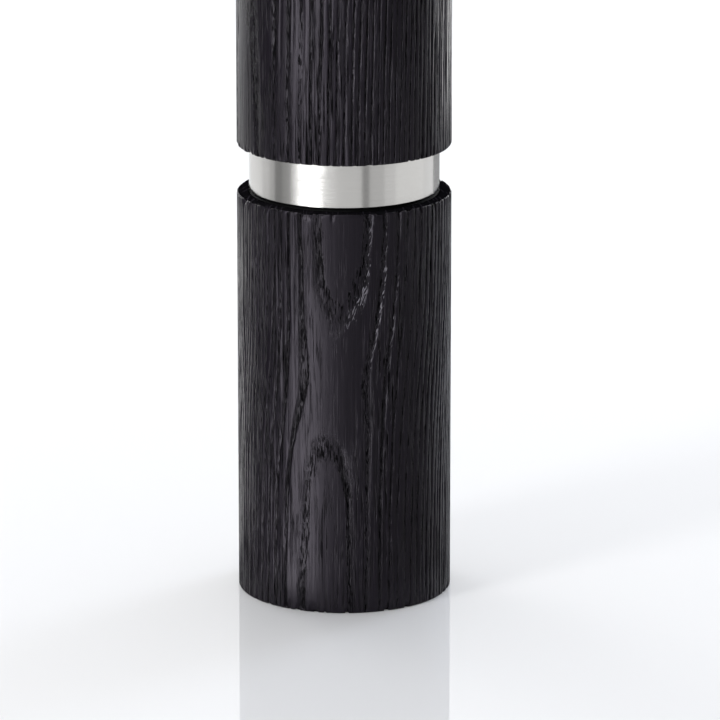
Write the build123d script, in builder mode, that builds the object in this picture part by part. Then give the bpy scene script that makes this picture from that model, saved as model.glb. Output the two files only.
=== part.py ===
from build123d import *

import math
import os

# Pepper mill with a turning head. The oak body holds a steel collar at its top, a clear hopper
# inside and a ceramic grinder in its base. The oak head turns on the collar and drives the grinder
# through a square shaft, and it pulls straight up off that shaft for filling.
# Millimetres, +Z up, the mill's axis is Z, the origin is the centre of the foot.

# Turned oak
body_diameter = 58.0
body_height = 111.0
head_height = 76.0
edge_ease = 0.6  # broken outer edges
base_rim = 3.5  # foot ring left around the grinder

# Steel collar
collar_shown = 13.0  # steel seen between the body and the head
collar_ledge = 3.25  # how far the collar stands in from the oak
collar_wall = 1.2
collar_sunk = 8.0
collar_rise = 8.0  # hidden inside the head

# Clearances
glue_gap = 0.05  # around a piece that is pressed or glued in
fit_gap = 0.3  # between oak and what drops into it
run_gap = 0.1  # between faces that slide or turn on each other
journal_gap = 0.05  # round the turning shaft

# Sleeve that the head turns on
sleeve_wall = 1.0
sleeve_flange = 1.2
sleeve_length = 11.0

# Hopper
liner_wall = 2.0
liner_flange_width = 2.5
liner_flange = 3.0
liner_gap = 0.5  # under the sleeve
seal_thickness = 1.2
seal_lap = 1.2  # over the rim of the grinder housing

# Grinder housing
flange_width = 7.0
flange_thickness = 3.0
barrel_wall = 2.4
throat_shoulder = 2.3
funnel_rim = 1.4
boss_height = 6.0
boss_wall = 1.9
arm_count = 3
arm_width = 4.5
arm_height = 5.0
arm_cover = 1.0  # housing wall left beyond the end of an arm
key_count = 3
key_width = 3.0
key_depth = 0.9
retainer_lip = 1.4
retainer_clear = 0.45  # retainer bore past the grinding grooves
spanner_hole_radius = 0.8
spanner_hole_depth = 1.5

# Ceramic burrs
stator_height = 12.0
stator_wall = 2.8
rotor_height = 14.0
rotor_step = 0.6  # rotor foot above the stator's foot
grind_gap = 0.45
fine_height = 4.5  # the fine teeth at the foot of each burr
fine_taper = 0.75  # what the radius loses over the fine teeth
tooth_depth = 0.8
tooth_pitch = 3.0  # along the rotor's foot
tooth_turn = 5.0  # degrees of twist over the fine teeth
breaker_count = 6
breaker_depth = 1.4
breaker_turn = 18.0  # degrees of twist in each half of the breaker flutes
burr_wall = 1.1

# Rotor carrier
carrier_hex = 10.0  # across flats
carrier_flange = 1.4
carrier_flange_radius = 9.5
carrier_stub = 1.6

# Adjusting knob
foot_clear = 1.3  # between the knob and the table
knob_height = 4.8
knob_radius = 9.0
knob_floor = 1.0
scallop_count = 12
scallop_radius = 1.3
pointer_width = 1.2
pointer_depth = 0.5
nut_height = 3.2
nut_hex = 7.0  # across flats
thread_radius = 2.0

# Drive shaft
shaft_square = 6.0
shaft_corner = 0.4
thread_length = 4.4
drive_flats = 4.4  # across the two flats that turn the rotor
flats_spare = 1.3  # flats past the top of the carrier
square_over = 0.5  # the bar's end past the socket
tip_chamfer = 0.4
grip_width = 2.0
grip_groove = 0.6
grip_proud = 1.2  # how far the ring stands out of its groove
grip_crown = 0.5  # higher in the middle than at its edges

# Shaft bearing and spring
bush_wall = 1.55
bush_flange = 1.0
bush_flange_width = 1.6
washer_thickness = 0.5
washer_inset = 0.2
spring_length = 8.0
spring_wire = 0.8
spring_turns = 4
spring_wire_sides = 8
spring_clear = 0.8  # between the shaft and the wire
spring_washer_lip = 0.6

# Head insert
insert_wall = 2.2
insert_flange = 2.2
insert_plate = 3.0
insert_cap = 4.5  # over the end of the shaft's bore
skirt_short = 1.3  # the skirt ends above the sleeve's foot
boss_setback = 2.5
grip_bore_height = 6.0  # under the socket, where the grip ring holds
socket_wall = 1.2
socket_length = 12.0
socket_boss_wall = 2.4
tip_clear = 1.5
rib_count = 3
rib_width = 1.8
rib_height = 12.0

# Screws
screw_count = 3
flange_screw_radius = 1.2
flange_screw_head = 2.3
flange_screw_length = 12.0
plate_screw_radius = 1.5
plate_screw_head = 2.8
plate_screw_head_height = 1.8
plate_screw_bite = 11.0  # in the oak
cross_width = 0.6
cross_span = 2.6
cross_depth = 0.8
pilot_spare = 0.5

# Heights, from the foot up
knob_top = foot_clear + knob_height
carrier_bottom = knob_top + run_gap
rotor_bottom = carrier_bottom + carrier_flange
recess_roof = rotor_bottom - rotor_step
flange_bottom = recess_roof - flange_thickness
stator_top = recess_roof + stator_height
rotor_top = rotor_bottom + rotor_height
carrier_top = rotor_top + carrier_stub
spring_top = carrier_top + spring_length
boss_bottom = spring_top + washer_thickness + run_gap
barrel_top = boss_bottom + boss_height
thrust_bottom = barrel_top + bush_flange + run_gap
square_bottom = thrust_bottom + washer_thickness
liner_bottom = barrel_top + seal_thickness
collar_bottom = body_height - collar_sunk
head_bottom = body_height + collar_shown
head_top = head_bottom + head_height
collar_top = head_bottom + collar_rise
sleeve_bottom = collar_top - sleeve_length
sleeve_top = collar_top + sleeve_flange
liner_top = sleeve_bottom - liner_gap
skirt_bottom = sleeve_bottom + skirt_short
insert_seat = sleeve_top + run_gap
flange_top = insert_seat + insert_flange
grip_bore_bottom = flange_top + boss_setback
grip_height = grip_bore_bottom + grip_bore_height / 2
socket_bottom = grip_bore_bottom + grip_bore_height
socket_top = socket_bottom + socket_length
shaft_top = socket_top + square_over
tip_bore_top = shaft_top + tip_clear
plug_top = tip_bore_top + insert_cap
plate_bottom = plug_top - insert_plate
nut_bottom = knob_top - nut_height
shaft_bottom = nut_bottom + pilot_spare / 2
flats_bottom = shaft_bottom + thread_length
flats_top = carrier_top + flats_spare

# Radii, from the oak inwards
body_radius = body_diameter / 2
collar_radius = body_radius - collar_ledge
collar_inner = collar_radius - collar_wall
sleeve_radius = collar_inner - glue_gap
sleeve_inner = sleeve_radius - sleeve_wall
plug_radius = sleeve_inner - run_gap
plug_inner = plug_radius - insert_wall
insert_bore = collar_radius + fit_gap
insert_flange_radius = insert_bore - glue_gap
liner_radius = sleeve_radius - liner_flange_width
liner_inner = liner_radius - liner_wall
hopper_bore = liner_radius + fit_gap
recess_radius = body_radius - base_rim
flange_radius = recess_radius - fit_gap
barrel_radius = flange_radius - flange_width
barrel_bore = barrel_radius + fit_gap
seal_radius = hopper_bore - run_gap
seal_inner = barrel_radius - seal_lap
funnel_radius = barrel_radius - funnel_rim
stator_seat = barrel_radius - barrel_wall
stator_radius = stator_seat - glue_gap
throat_radius = stator_seat - throat_shoulder
retainer_seat = stator_seat + retainer_lip
retainer_radius = retainer_seat - glue_gap
stator_groove = stator_radius - stator_wall
retainer_inner = stator_groove + retainer_clear
screw_circle = barrel_radius + flange_width / 2
journal_radius = shaft_square / 2
bush_inner = journal_radius + journal_gap
bush_radius = bush_inner + bush_wall
bush_flange_radius = bush_radius + bush_flange_width
boss_radius = bush_radius + glue_gap + boss_wall
washer_inner = journal_radius + run_gap
spring_radius = journal_radius + spring_clear + spring_wire / 2
spring_washer_radius = spring_radius + spring_wire / 2 + spring_washer_lip
socket_square = shaft_square + 2 * run_gap
socket_radius = socket_square / math.sqrt(2) + socket_wall
socket_boss_radius = socket_radius + glue_gap + socket_boss_wall
grip_inner = journal_radius - grip_groove + glue_gap
grip_radius = journal_radius + grip_proud
grip_bore = grip_radius + run_gap
plate_screw_circle = (socket_boss_radius + plug_inner) / 2

# The rotor's tooth tips follow two cones: a steep one along the fine teeth and a flatter one above.
rotor_foot_tip = stator_groove - tooth_depth - grind_gap
rotor_neck_tip = rotor_foot_tip - fine_taper
rotor_top_root = carrier_hex / math.sqrt(3) + glue_gap + burr_wall
rotor_top_tip = rotor_top_root + breaker_depth
fine_top = rotor_bottom + fine_height
tooth_count = round(2 * math.pi * rotor_foot_tip / tooth_pitch)


def rotor_tip(height):
    # radius of the rotor's tooth tips at a height, carried on past both ends
    if height < fine_top:
        return rotor_foot_tip - fine_taper * (height - rotor_bottom) / fine_height
    rise = (height - fine_top) / (rotor_top - fine_top)
    return rotor_neck_tip + (rotor_top_tip - rotor_neck_tip) * rise


def tooth_ring(count, turn, corners):
    # outline of a ring of teeth: each corner is its share of the pitch and its radius
    outline = []
    for tooth in range(count):
        for share, radius in corners:
            angle = 2 * math.pi * (tooth + share) / count + math.radians(turn)
            outline.append((radius * math.cos(angle), radius * math.sin(angle)))
    return outline


def fine_outline(count, turn, tip, root):
    # saw teeth: a steep cutting face and a long back
    return tooth_ring(count, turn, ((0.0, tip), (0.25, root)))


def breaker_outline(count, turn, tip, root):
    # wide flutes that catch a whole peppercorn and feed it down
    return tooth_ring(count, turn, ((0.0, tip), (0.2, root), (0.6, (tip + root) / 2), (0.9, tip)))


# Oak body: the hopper bore, the collar's seat on top, the grinder's bore and recess in the base
with BuildPart() as body_shell:
    with BuildSketch(Plane.XZ):
        with BuildLine():
            Polyline(
                (recess_radius, 0),
                (body_radius, 0),
                (body_radius, body_height),
                (collar_radius + glue_gap, body_height),
                (collar_radius + glue_gap, collar_bottom),
                (hopper_bore, collar_bottom),
                (hopper_bore, barrel_top),
                (barrel_bore, barrel_top),
                (barrel_bore, recess_roof),
                (recess_radius, recess_roof),
                close=True,
            )
        make_face()
    revolve(axis=Axis.Z)
    outer_rings = body_shell.edges().filter_by(GeomType.CIRCLE).group_by(SortBy.RADIUS)[-1]
    chamfer(outer_rings, edge_ease)
    with BuildSketch(Plane.XY.offset(recess_roof)):
        with PolarLocations(screw_circle, screw_count):
            Circle(flange_screw_radius + glue_gap)
    extrude(amount=flange_screw_length - flange_thickness + pilot_spare, mode=Mode.SUBTRACT)

# Steel collar: a plain turned ring, sunk in the body and running up into the head
with BuildPart() as collar_ring:
    with BuildSketch(Plane.XY.offset(collar_bottom)):
        Circle(collar_radius)
        Circle(collar_inner, mode=Mode.SUBTRACT)
    extrude(amount=collar_top - collar_bottom)

# Slip sleeve: lines the collar and laps over its rim, so that the head turns on plastic
with BuildPart() as slip_sleeve:
    with BuildSketch(Plane.XZ):
        with BuildLine():
            Polyline(
                (sleeve_inner, sleeve_bottom),
                (sleeve_radius, sleeve_bottom),
                (sleeve_radius, collar_top),
                (collar_radius, collar_top),
                (collar_radius, sleeve_top),
                (sleeve_inner, sleeve_top),
                close=True,
            )
        make_face()
    revolve(axis=Axis.Z)

# Clear hopper: a tube that stands on its seal, centred in the collar by its top flange
with BuildPart() as hopper_liner:
    with BuildSketch(Plane.XZ):
        with BuildLine():
            Polyline(
                (liner_inner, liner_bottom),
                (liner_radius, liner_bottom),
                (liner_radius, liner_top - liner_flange - liner_flange_width),
                (sleeve_radius, liner_top - liner_flange),
                (sleeve_radius, liner_top),
                (liner_inner, liner_top),
                close=True,
            )
        make_face()
    revolve(axis=Axis.Z)

# Hopper seal: a flat ring over the joint between the oak and the grinder housing
with BuildPart() as hopper_seal:
    with BuildSketch(Plane.XY.offset(barrel_top)):
        Circle(seal_radius)
        Circle(seal_inner, mode=Mode.SUBTRACT)
    extrude(amount=seal_thickness)

# Grinder housing: a moulded barrel with a fixing flange, a funnel and a three-armed bearing boss
with BuildPart() as grinder_housing:
    with BuildSketch(Plane.XZ):
        with BuildLine():
            Polyline(
                (retainer_seat, flange_bottom),
                (flange_radius, flange_bottom),
                (flange_radius, recess_roof),
                (barrel_radius, recess_roof),
                (barrel_radius, barrel_top),
                (funnel_radius, barrel_top),
                (throat_radius, boss_bottom),
                (throat_radius, stator_top + glue_gap),
                (stator_seat, stator_top + glue_gap),
                (stator_seat, recess_roof),
                (retainer_seat, recess_roof),
                close=True,
            )
        make_face()
    revolve(axis=Axis.Z)
    with BuildSketch(Plane.XY.offset(boss_bottom)):
        Circle(boss_radius)
    extrude(amount=boss_height)
    with BuildSketch(Plane.XY.offset(boss_bottom)):
        with PolarLocations((bush_radius + barrel_radius - arm_cover) / 2, arm_count):
            Rectangle(barrel_radius - arm_cover - bush_radius, arm_width)
    extrude(amount=arm_height)
    with BuildSketch(Plane.XY.offset(boss_bottom)):
        Circle(bush_radius + glue_gap)
    extrude(amount=boss_height, mode=Mode.SUBTRACT)
    with BuildSketch(Plane.XY.offset(recess_roof)):
        with PolarLocations(stator_seat, key_count):
            Rectangle(2 * key_depth, key_width)
    extrude(amount=stator_height)
    with Locations(Plane((0, 0, flange_bottom), x_dir=(1, 0, 0), z_dir=(0, 0, -1))):
        with PolarLocations(screw_circle, screw_count):
            CounterSinkHole(
                flange_screw_radius + run_gap,
                flange_screw_head + run_gap,
                depth=flange_thickness,
                counter_sink_angle=90,
            )

# Stator: the outer ceramic burr, keyed against turning, with saw teeth below and flutes above
with BuildPart() as stator_burr:
    with BuildSketch(Plane.XY.offset(recess_roof)):
        Circle(stator_radius)
        with PolarLocations(stator_radius, key_count):
            Rectangle(2 * (key_depth + run_gap), key_width + 2 * run_gap, mode=Mode.SUBTRACT)
    extrude(amount=stator_height)
    stator_foot_tip = rotor_tip(recess_roof) + grind_gap
    stator_neck_tip = rotor_tip(fine_top) + grind_gap
    stator_top_tip = rotor_tip(stator_top) + grind_gap
    with BuildSketch(Plane.XY.offset(recess_roof)):
        Polygon(*fine_outline(tooth_count + 2, 0, stator_foot_tip + tooth_depth, stator_foot_tip))
    with BuildSketch(Plane.XY.offset(fine_top)):
        Polygon(
            *fine_outline(tooth_count + 2, -tooth_turn, stator_neck_tip + tooth_depth, stator_neck_tip)
        )
    loft(ruled=True, mode=Mode.SUBTRACT)
    with BuildSketch(Plane.XY.offset(fine_top)):
        Polygon(*breaker_outline(breaker_count + 1, 0, stator_neck_tip + tooth_depth, stator_neck_tip))
    with BuildSketch(Plane.XY.offset(stator_top)):
        Polygon(
            *breaker_outline(
                breaker_count + 1, -tooth_turn, stator_top_tip + breaker_depth, stator_top_tip
            )
        )
    loft(ruled=True, mode=Mode.SUBTRACT)

# Stator retainer: screws into the housing under the stator, with two holes for a pin spanner
with BuildPart() as stator_retainer:
    with BuildSketch(Plane.XY.offset(flange_bottom)):
        Circle(retainer_radius)
        Circle(retainer_inner, mode=Mode.SUBTRACT)
    extrude(amount=flange_thickness)
    with BuildSketch(Plane.XY.offset(flange_bottom)):
        with PolarLocations((retainer_radius + retainer_inner) / 2, 2):
            Circle(spanner_hole_radius)
    extrude(amount=spanner_hole_depth, mode=Mode.SUBTRACT)

# Flange screws: countersunk, with a cross recess, up into the oak
with BuildPart() as flange_screws:
    screw_cone = flange_screw_head - flange_screw_radius
    with BuildSketch(Plane.XY.offset(flange_bottom)):
        with PolarLocations(screw_circle, screw_count):
            Circle(flange_screw_head)
    extrude(amount=screw_cone, taper=45)
    with BuildSketch(Plane.XY.offset(flange_bottom + screw_cone)):
        with PolarLocations(screw_circle, screw_count):
            Circle(flange_screw_radius)
    extrude(amount=flange_screw_length - screw_cone)
    with BuildSketch(Plane.XY.offset(flange_bottom)):
        with PolarLocations(screw_circle, screw_count):
            Rectangle(cross_span, cross_width)
            Rectangle(cross_width, cross_span)
    extrude(amount=cross_depth, mode=Mode.SUBTRACT)

# Shaft bush: pressed into the boss from above, its flange takes the shaft's weight
with BuildPart() as shaft_bush:
    with BuildSketch(Plane.XZ):
        with BuildLine():
            Polyline(
                (bush_inner, boss_bottom),
                (bush_radius, boss_bottom),
                (bush_radius, barrel_top),
                (bush_flange_radius, barrel_top),
                (bush_flange_radius, barrel_top + bush_flange),
                (bush_inner, barrel_top + bush_flange),
                close=True,
            )
        make_face()
    revolve(axis=Axis.Z)

# Drive shaft: a square bar with a ring groove, turned down to a journal, two flats and a thread
with BuildPart() as drive_shaft:
    with BuildSketch(Plane.XY.offset(shaft_bottom)):
        Circle(thread_radius)
    extrude(amount=thread_length)
    with BuildSketch(Plane.XY.offset(flats_bottom)):
        Circle(journal_radius)
        Rectangle(shaft_square, drive_flats, mode=Mode.INTERSECT)
    extrude(amount=flats_top - flats_bottom)
    with BuildSketch(Plane.XY.offset(flats_top)):
        Circle(journal_radius)
    extrude(amount=square_bottom - flats_top)
    with BuildSketch(Plane.XY.offset(square_bottom)) as bar_section:
        Rectangle(shaft_square, shaft_square)
        chamfer(bar_section.vertices(), shaft_corner)
    extrude(amount=shaft_top - square_bottom)
    chamfer(drive_shaft.faces().sort_by(Axis.Z)[-1].edges(), tip_chamfer)
    with BuildSketch(Plane.XY.offset(grip_height - grip_width / 2 - glue_gap)):
        Rectangle(shaft_square, shaft_square)
        Circle(journal_radius - grip_groove, mode=Mode.SUBTRACT)
    extrude(amount=grip_width + 2 * glue_gap, mode=Mode.SUBTRACT)

# Grip ring: a crowned rubber ring in the shaft's groove that holds the head on by friction
with BuildPart() as grip_ring:
    with BuildSketch(Plane.XZ):
        with BuildLine():
            Polyline(
                (grip_inner, grip_height - grip_width / 2),
                (grip_radius - grip_crown, grip_height - grip_width / 2),
                (grip_radius, grip_height),
                (grip_radius - grip_crown, grip_height + grip_width / 2),
                (grip_inner, grip_height + grip_width / 2),
                close=True,
            )
        make_face()
    revolve(axis=Axis.Z)

# Thrust washer: between the bush and the shoulder of the square bar
with BuildPart() as thrust_washer:
    with BuildSketch(Plane.XY.offset(thrust_bottom)):
        Circle(bush_flange_radius - washer_inset)
        Circle(washer_inner, mode=Mode.SUBTRACT)
    extrude(amount=washer_thickness)

# Spring washer: the spring's upper seat, under the boss
with BuildPart() as spring_washer:
    with BuildSketch(Plane.XY.offset(spring_top)):
        Circle(spring_washer_radius)
        Circle(washer_inner, mode=Mode.SUBTRACT)
    extrude(amount=washer_thickness)

# Grinder spring: pushes the rotor down on to the adjusting knob
with BuildPart() as grinder_spring:
    coil_height = spring_length - spring_wire
    with BuildLine():
        coil = Helix(
            pitch=coil_height / spring_turns,
            height=coil_height,
            radius=spring_radius,
            center=(0, 0, carrier_top + spring_wire / 2),
        )
    with BuildSketch(Plane(coil @ 0, z_dir=coil % 0)):
        RegularPolygon(spring_wire / 2, spring_wire_sides)
    sweep(path=coil, is_frenet=True)

# Rotor: the inner ceramic burr, saw teeth at its foot and feeding flutes above, on a hexagon
with BuildPart() as rotor_burr:
    with BuildSketch(Plane.XY.offset(rotor_bottom)):
        Polygon(*fine_outline(tooth_count, 0, rotor_foot_tip, rotor_foot_tip - tooth_depth))
    with BuildSketch(Plane.XY.offset(fine_top)):
        Polygon(*fine_outline(tooth_count, tooth_turn, rotor_neck_tip, rotor_neck_tip - tooth_depth))
    loft(ruled=True)
    for half in range(2):
        flute_bottom = fine_top + half * (rotor_top - fine_top) / 2
        flute_top = flute_bottom + (rotor_top - fine_top) / 2
        with BuildSketch(Plane.XY.offset(flute_bottom)):
            Polygon(
                *breaker_outline(
                    breaker_count,
                    half * breaker_turn,
                    rotor_tip(flute_bottom),
                    rotor_tip(flute_bottom) - breaker_depth,
                )
            )
        with BuildSketch(Plane.XY.offset(flute_top)):
            Polygon(
                *breaker_outline(
                    breaker_count,
                    (half + 1) * breaker_turn,
                    rotor_tip(flute_top),
                    rotor_tip(flute_top) - breaker_depth,
                )
            )
        loft(ruled=True)
    with BuildSketch(Plane.XY.offset(rotor_bottom)):
        RegularPolygon(carrier_hex / 2 + glue_gap, 6, major_radius=False)
    extrude(amount=rotor_height, mode=Mode.SUBTRACT)

# Rotor carrier: turns with the shaft's flats and slides along them, under and inside the rotor
with BuildPart() as rotor_carrier:
    with BuildSketch(Plane.XY.offset(carrier_bottom)):
        Circle(carrier_flange_radius)
    extrude(amount=carrier_flange)
    with BuildSketch(Plane.XY.offset(rotor_bottom)):
        RegularPolygon(carrier_hex / 2, 6, major_radius=False)
    extrude(amount=carrier_top - rotor_bottom)
    with BuildSketch(Plane.XY.offset(carrier_bottom)):
        Circle(washer_inner)
        Rectangle(2 * washer_inner, drive_flats + 2 * run_gap, mode=Mode.INTERSECT)
    extrude(amount=carrier_top - carrier_bottom, mode=Mode.SUBTRACT)

# Adjusting knob: scalloped for the fingers, with a pointer slot, and a pocket for its nut
with BuildPart() as adjuster_knob:
    with BuildSketch(Plane.XY.offset(foot_clear)):
        Circle(knob_radius)
        with PolarLocations(knob_radius + scallop_radius / 2, scallop_count):
            Circle(scallop_radius, mode=Mode.SUBTRACT)
    extrude(amount=knob_height)
    with BuildSketch(Plane.XY.offset(nut_bottom)):
        RegularPolygon(nut_hex / 2 + glue_gap, 6, major_radius=False)
    extrude(amount=nut_height, mode=Mode.SUBTRACT)
    with BuildSketch(Plane.XY.offset(foot_clear + knob_floor)):
        Circle(thread_radius + run_gap)
    extrude(amount=knob_height - knob_floor, mode=Mode.SUBTRACT)
    with BuildSketch(Plane.XY.offset(foot_clear)):
        with Locations((knob_radius / 2, 0)):
            Rectangle(knob_radius / 2, pointer_width)
    extrude(amount=pointer_depth, mode=Mode.SUBTRACT)

# Adjuster nut: the brass thread inside the knob
with BuildPart() as adjuster_nut:
    with BuildSketch(Plane.XY.offset(nut_bottom)):
        RegularPolygon(nut_hex / 2, 6, major_radius=False)
        Circle(thread_radius + journal_gap, mode=Mode.SUBTRACT)
    extrude(amount=nut_height)

# Oak head: bored from below for the collar and for the insert that carries the drive socket
with BuildPart() as head_shell:
    with BuildSketch(Plane.XZ):
        with BuildLine():
            Polyline(
                (insert_bore, head_bottom),
                (body_radius, head_bottom),
                (body_radius, head_top),
                (0, head_top),
                (0, plug_top),
                (plug_radius + glue_gap, plug_top),
                (plug_radius + glue_gap, flange_top),
                (insert_bore, flange_top),
                close=True,
            )
        make_face()
    revolve(axis=Axis.Z)
    outer_rings = head_shell.edges().filter_by(GeomType.CIRCLE).group_by(SortBy.RADIUS)[-1]
    chamfer(outer_rings, edge_ease)
    with BuildSketch(Plane.XY.offset(plug_top)):
        with PolarLocations(plate_screw_circle, screw_count):
            Circle(plate_screw_radius + glue_gap)
    extrude(amount=plate_screw_bite + pilot_spare, mode=Mode.SUBTRACT)

# Head insert: a moulded cup with a skirt that turns inside the sleeve and a ribbed socket boss
with BuildPart() as head_insert:
    with BuildSketch(Plane.XZ):
        with BuildLine():
            Polyline(
                (plug_inner, skirt_bottom),
                (plug_radius, skirt_bottom),
                (plug_radius, insert_seat),
                (insert_flange_radius, insert_seat),
                (insert_flange_radius, flange_top),
                (plug_radius, flange_top),
                (plug_radius, plug_top),
                (0, plug_top),
                (0, plate_bottom),
                (plug_inner, plate_bottom),
                close=True,
            )
        make_face()
    revolve(axis=Axis.Z)
    with BuildSketch(Plane.XY.offset(grip_bore_bottom)):
        Circle(socket_boss_radius)
    extrude(amount=plate_bottom - grip_bore_bottom)
    with BuildSketch(Plane.XY.offset(plate_bottom - rib_height)):
        with PolarLocations((socket_radius + plug_radius) / 2, rib_count, start_angle=180 / rib_count):
            Rectangle(plug_radius - socket_radius - insert_wall, rib_width)
    extrude(amount=rib_height)
    with BuildSketch(Plane.XY.offset(socket_bottom)):
        Circle(socket_radius + glue_gap)
    extrude(amount=socket_length, mode=Mode.SUBTRACT)
    with BuildSketch(Plane.XY.offset(grip_bore_bottom)):
        Circle(grip_bore)
    extrude(amount=tip_bore_top - grip_bore_bottom, mode=Mode.SUBTRACT)
    with BuildSketch(Plane.XY.offset(plate_bottom)):
        with PolarLocations(plate_screw_circle, screw_count):
            Circle(plate_screw_radius + run_gap)
    extrude(amount=insert_plate, mode=Mode.SUBTRACT)

# Drive socket: the metal sleeve, moulded in, whose square hole slides over the shaft
with BuildPart() as drive_socket:
    with BuildSketch(Plane.XY.offset(socket_bottom)):
        Circle(socket_radius)
        Rectangle(socket_square, socket_square, mode=Mode.SUBTRACT)
    extrude(amount=socket_length)

# Plate screws: pan heads inside the insert, up into the oak of the head
with BuildPart() as plate_screws:
    with BuildSketch(Plane.XY.offset(plate_bottom - plate_screw_head_height)):
        with PolarLocations(plate_screw_circle, screw_count):
            Circle(plate_screw_head)
    extrude(amount=plate_screw_head_height)
    with BuildSketch(Plane.XY.offset(plate_bottom)):
        with PolarLocations(plate_screw_circle, screw_count):
            Circle(plate_screw_radius)
    extrude(amount=insert_plate + plate_screw_bite)
    with BuildSketch(Plane.XY.offset(plate_bottom - plate_screw_head_height)):
        with PolarLocations(plate_screw_circle, screw_count):
            Rectangle(cross_span, cross_width)
            Rectangle(cross_width, cross_span)
    extrude(amount=cross_depth, mode=Mode.SUBTRACT)

pieces = {
    "body_shell": body_shell,
    "collar_ring": collar_ring,
    "slip_sleeve": slip_sleeve,
    "hopper_liner": hopper_liner,
    "hopper_seal": hopper_seal,
    "grinder_housing": grinder_housing,
    "stator_burr": stator_burr,
    "stator_retainer": stator_retainer,
    "flange_screws": flange_screws,
    "shaft_bush": shaft_bush,
    "drive_shaft": drive_shaft,
    "grip_ring": grip_ring,
    "thrust_washer": thrust_washer,
    "spring_washer": spring_washer,
    "grinder_spring": grinder_spring,
    "rotor_burr": rotor_burr,
    "rotor_carrier": rotor_carrier,
    "adjuster_knob": adjuster_knob,
    "adjuster_nut": adjuster_nut,
    "head_shell": head_shell,
    "head_insert": head_insert,
    "drive_socket": drive_socket,
    "plate_screws": plate_screws,
}
os.makedirs("parts", exist_ok=True)
for name, piece in pieces.items():
    piece.part.label = name
    export_step(piece.part, f"parts/{name}.step")
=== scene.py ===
import math

import bmesh
import bpy
from mathutils import Matrix, Vector, noise


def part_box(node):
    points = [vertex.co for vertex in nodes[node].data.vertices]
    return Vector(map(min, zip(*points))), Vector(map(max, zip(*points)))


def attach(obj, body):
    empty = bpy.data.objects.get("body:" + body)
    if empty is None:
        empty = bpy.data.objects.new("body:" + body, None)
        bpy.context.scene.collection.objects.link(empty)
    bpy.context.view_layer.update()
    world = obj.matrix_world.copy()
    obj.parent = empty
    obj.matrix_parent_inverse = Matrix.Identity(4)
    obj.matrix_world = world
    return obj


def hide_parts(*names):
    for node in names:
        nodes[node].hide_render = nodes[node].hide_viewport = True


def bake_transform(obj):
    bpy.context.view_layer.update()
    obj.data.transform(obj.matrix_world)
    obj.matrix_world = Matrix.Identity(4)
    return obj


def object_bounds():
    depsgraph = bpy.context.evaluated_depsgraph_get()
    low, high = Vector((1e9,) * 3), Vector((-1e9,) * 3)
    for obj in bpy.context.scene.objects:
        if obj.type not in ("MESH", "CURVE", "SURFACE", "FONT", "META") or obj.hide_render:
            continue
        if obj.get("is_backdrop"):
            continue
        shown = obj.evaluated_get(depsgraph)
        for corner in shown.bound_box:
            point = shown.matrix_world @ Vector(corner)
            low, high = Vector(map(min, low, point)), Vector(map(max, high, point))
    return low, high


# Pepper mill in black brushed oak: a turned body and head with a steel collar between them, and a
# ceramic grinder in the base. The oak, the collar and the grinder's spring are modelled here in
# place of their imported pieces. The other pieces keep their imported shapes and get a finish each.

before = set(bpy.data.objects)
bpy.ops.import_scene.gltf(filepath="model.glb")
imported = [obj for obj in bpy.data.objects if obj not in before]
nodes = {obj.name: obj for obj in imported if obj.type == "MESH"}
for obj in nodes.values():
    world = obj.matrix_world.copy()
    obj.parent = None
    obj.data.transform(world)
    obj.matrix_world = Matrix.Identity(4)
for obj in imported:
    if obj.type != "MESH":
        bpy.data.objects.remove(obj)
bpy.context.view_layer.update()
mm = 0.001  # the frame is in metres
print("frame loaded, nodes:", len(nodes))


def hexColour(code):  # sRGB hex to linear
    parts = [int(code[i : i + 2], 16) / 255 for i in (1, 3, 5)]
    return [c / 12.92 if c <= 0.04045 else ((c + 0.055) / 1.055) ** 2.4 for c in parts] + [1.0]


def addNode(tree, kind, inputs=None, stops=None, **settings):
    node = tree.nodes.new(kind)
    for name, value in settings.items():
        setattr(node, name, value)
    for key, value in (inputs or {}).items():
        if isinstance(value, bpy.types.NodeSocket):
            tree.links.new(value, node.inputs[key])
        else:
            node.inputs[key].default_value = value
    if stops:  # the stops of a colour ramp
        ramp = node.color_ramp.elements
        while len(ramp) < len(stops):
            ramp.new(1.0)
        for element, (place, colour) in zip(ramp, stops):
            element.position = place
            element.color = colour if isinstance(colour, list) else (colour, colour, colour, 1)
    return node


def newMaterial(name, **sockets):
    material = bpy.data.materials.new(name)
    material.use_nodes = True
    tree = material.node_tree
    tree.nodes.clear()
    shader = addNode(tree, "ShaderNodeBsdfPrincipled", sockets)
    addNode(tree, "ShaderNodeOutputMaterial", {"Surface": shader.outputs["BSDF"]})
    return material, tree, shader


def grainPattern(tree, acrossMm, alongMm, detail=2.0, roughness=0.5):
    # noise sized in millimetres on the piece's own coordinates, with its own length along Z
    place = addNode(tree, "ShaderNodeTexCoord").outputs["Object"]
    scale = (1 / (acrossMm * mm), 1 / (acrossMm * mm), 1 / (alongMm * mm))
    along = addNode(tree, "ShaderNodeMapping", {"Vector": place, "Scale": scale}).outputs["Vector"]
    grain = {"Vector": along, "Scale": 1.0, "Detail": detail, "Roughness": roughness}
    return addNode(tree, "ShaderNodeTexNoise", grain).outputs["Fac"]


def fromShare(value, low, high):  # what a Map Range node takes to stretch part of a value to 0 to 1
    return {"Value": value, "From Min": low, "From Max": high}


def toSpan(value, low, high):  # and to stretch 0 to 1 to a span of its own
    return {"Value": value, "To Min": low, "To Max": high}


def newPiece(name, cadNode):
    piece = bpy.data.objects.new(name, bpy.data.meshes.new(name))
    bpy.context.collection.objects.link(piece)
    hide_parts(cadNode)
    return piece


turning = {"doublings": 5, "weld": 0.002}  # weld in mm


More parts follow.
